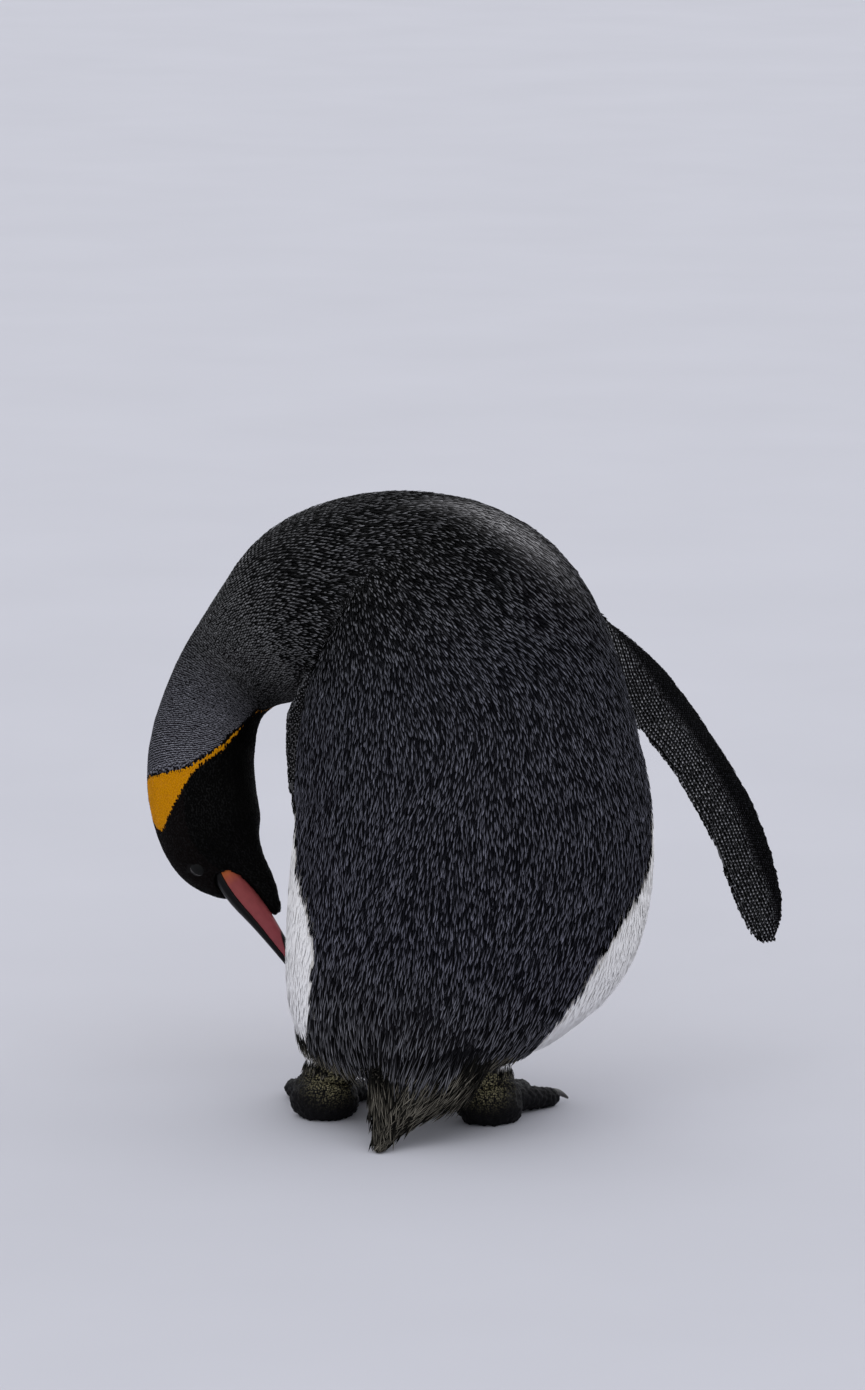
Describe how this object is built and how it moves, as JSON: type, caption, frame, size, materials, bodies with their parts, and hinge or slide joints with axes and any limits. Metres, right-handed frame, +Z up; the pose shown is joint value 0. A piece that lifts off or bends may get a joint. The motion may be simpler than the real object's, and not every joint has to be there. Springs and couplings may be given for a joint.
{
  "type": "king penguin",
  "caption": "Life-size king penguin model standing with rounded back and its neck bent down, preening its left flank, one flipper held out.",
  "frame": {"origin": "middle of the bounding box at floor level, between the feet", "axes": "+Z up, the bird faces -Y, its left side is +X"},
  "size_m": [0.5316, 0.4094, 0.49],
  "materials": {
    "slate_plumage": "matt dark slate feathers with paler tips, white on the belly",
    "neck_plumage": "smooth grey feathers",
    "hood_plumage": "black velvety feathers with an orange ear patch",
    "flipper_plumage": "small stiff dark feathers, white beneath",
    "tail_plumage": "stiff grey-brown feathers",
    "foot_skin": "pebbled black skin",
    "bill_horn": "satin black horn",
    "bill_plate": "satin salmon-red horn",
    "claw_horn": "satin black horn",
    "eye": "wet dark brown"
  },
  "bodies": {
    "root": {"bill_lower": "bill_plate", "bill_upper": "bill_horn", "claw_left_inner": "claw_horn", "claw_left_middle": "claw_horn", "claw_left_outer": "claw_horn", "claw_right_inner": "claw_horn", "claw_right_middle": "claw_horn", "claw_right_outer": "claw_horn", "eye_left": "eye", "eye_right": "eye", "flipper_left": "flipper_plumage", "flipper_right": "flipper_plumage", "foot_left": "foot_skin", "foot_right": "foot_skin", "head": "hood_plumage", "leg_left": "slate_plumage", "leg_right": "slate_plumage", "neck": "neck_plumage", "tail": "tail_plumage", "trunk": "slate_plumage"}
  },
  "joints": []
}
